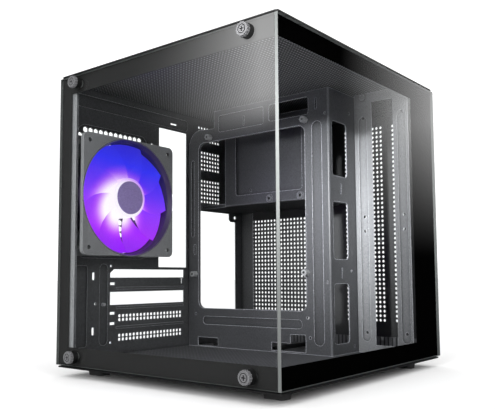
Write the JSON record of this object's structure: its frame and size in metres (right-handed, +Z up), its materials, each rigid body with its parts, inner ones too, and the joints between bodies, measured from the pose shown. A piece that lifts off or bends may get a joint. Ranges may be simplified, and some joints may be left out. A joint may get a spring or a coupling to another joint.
{
  "type": "mini tower pc case",
  "caption": "Two-chamber mini tower PC case with glass front and left side on a folded steel chassis, a lit rear fan, and a perforated right panel over the power supply bay.",
  "frame": {"origin": "under the middle of the case and its outer screws, on the plane that the feet stand on", "axes": "+Z up, front glass faces -Y, side glass faces -X, rear panel faces +Y, perforated panel faces +X"},
  "size_m": [0.2894, 0.2692, 0.2929],
  "materials": {
    "base_plate": "satin powder coat",
    "floor_pan": "satin powder coat",
    "roof_pan": "satin powder coat",
    "roof_plate": "satin powder coat",
    "rear_panel": "satin powder coat",
    "motherboard_tray": "satin powder coat",
    "side_rail_bracket": "satin powder coat",
    "drive_bracket": "satin powder coat",
    "right_panel": "satin powder coat",
    "slot_clamp": "satin powder coat",
    "feet": "matt",
    "foam": "closed-cell foam",
    "filter": "framed mesh",
    "side_glass": "clear tempered pane, black border printed on its back",
    "front_glass": "clear tempered pane, black border printed on its back",
    "bushings": "moulded",
    "thumb_screws": "turned, bright",
    "steel_screws": "zinc plated",
    "standoffs": "zinc plated",
    "io_housing": "moulded",
    "circuit_boards": "solder mask",
    "sockets": "nickel plated",
    "black_plastic": "moulded",
    "buttons": "polished",
    "fan_frame": "moulded, fine matt",
    "fan_rotor": "frosted, lit from the hub",
    "hub_cap": "bare sticker-smooth disc",
    "magnet": "bonded ferrite",
    "sleeve": "sintered"
  },
  "bodies": {
    "chassis": {"feet": "feet", "foot_screws": "steel_screws", "base_plate": "base_plate", "bottom_filter": "filter", "floor_pan": "floor_pan", "roof_pan": "roof_pan", "roof_plate": "roof_plate", "rear_panel": "rear_panel", "motherboard_tray": "motherboard_tray", "standoffs": "standoffs", "side_rail_bracket": "side_rail_bracket", "drive_bracket": "drive_bracket", "psu_pads": "foam", "side_glass": "side_glass", "front_glass": "front_glass", "front_glass_tapes": "foam", "glass_bushings": "bushings", "glass_thumb_screws": "thumb_screws", "glass_screw_nuts": "steel_screws", "right_panel": "right_panel", "right_panel_screws": "steel_screws", "slot_clamp": "slot_clamp", "slot_clamp_screw": "steel_screws", "io_housing": "io_housing", "io_board": "circuit_boards", "usb_a_sockets": "sockets", "usb_c_socket": "sockets", "audio_jack": "black_plastic", "button_switches": "black_plastic", "fan_frame": "fan_frame", "fan_sleeve": "sleeve", "fan_stator": "steel_screws", "fan_board": "circuit_boards", "fan_screws": "steel_screws"},
    "rotor": {"fan_rotor": "fan_rotor", "fan_hub_cap": "hub_cap", "fan_shaft": "steel_screws", "fan_magnet": "magnet"},
    "power_button": {"power_button": "buttons"},
    "reset_button": {"reset_button": "buttons"}
  },
  "joints": [
    {"name": "fan_spin", "type": "hinge", "parent": "chassis", "child": "rotor", "pos_m": [-0.0692, 0.115, 0.1756], "axis": [0, -1, 0], "continuous": true},
    {"name": "power_press", "type": "slide", "parent": "chassis", "child": "power_button", "axis": [0, 0, -1], "range_m": [0, 0.0008], "stiffness_N_per_m": 400},
    {"name": "reset_press", "type": "slide", "parent": "chassis", "child": "reset_button", "axis": [0, 0, -1], "range_m": [0, 0.0006], "stiffness_N_per_m": 300}
  ]
}
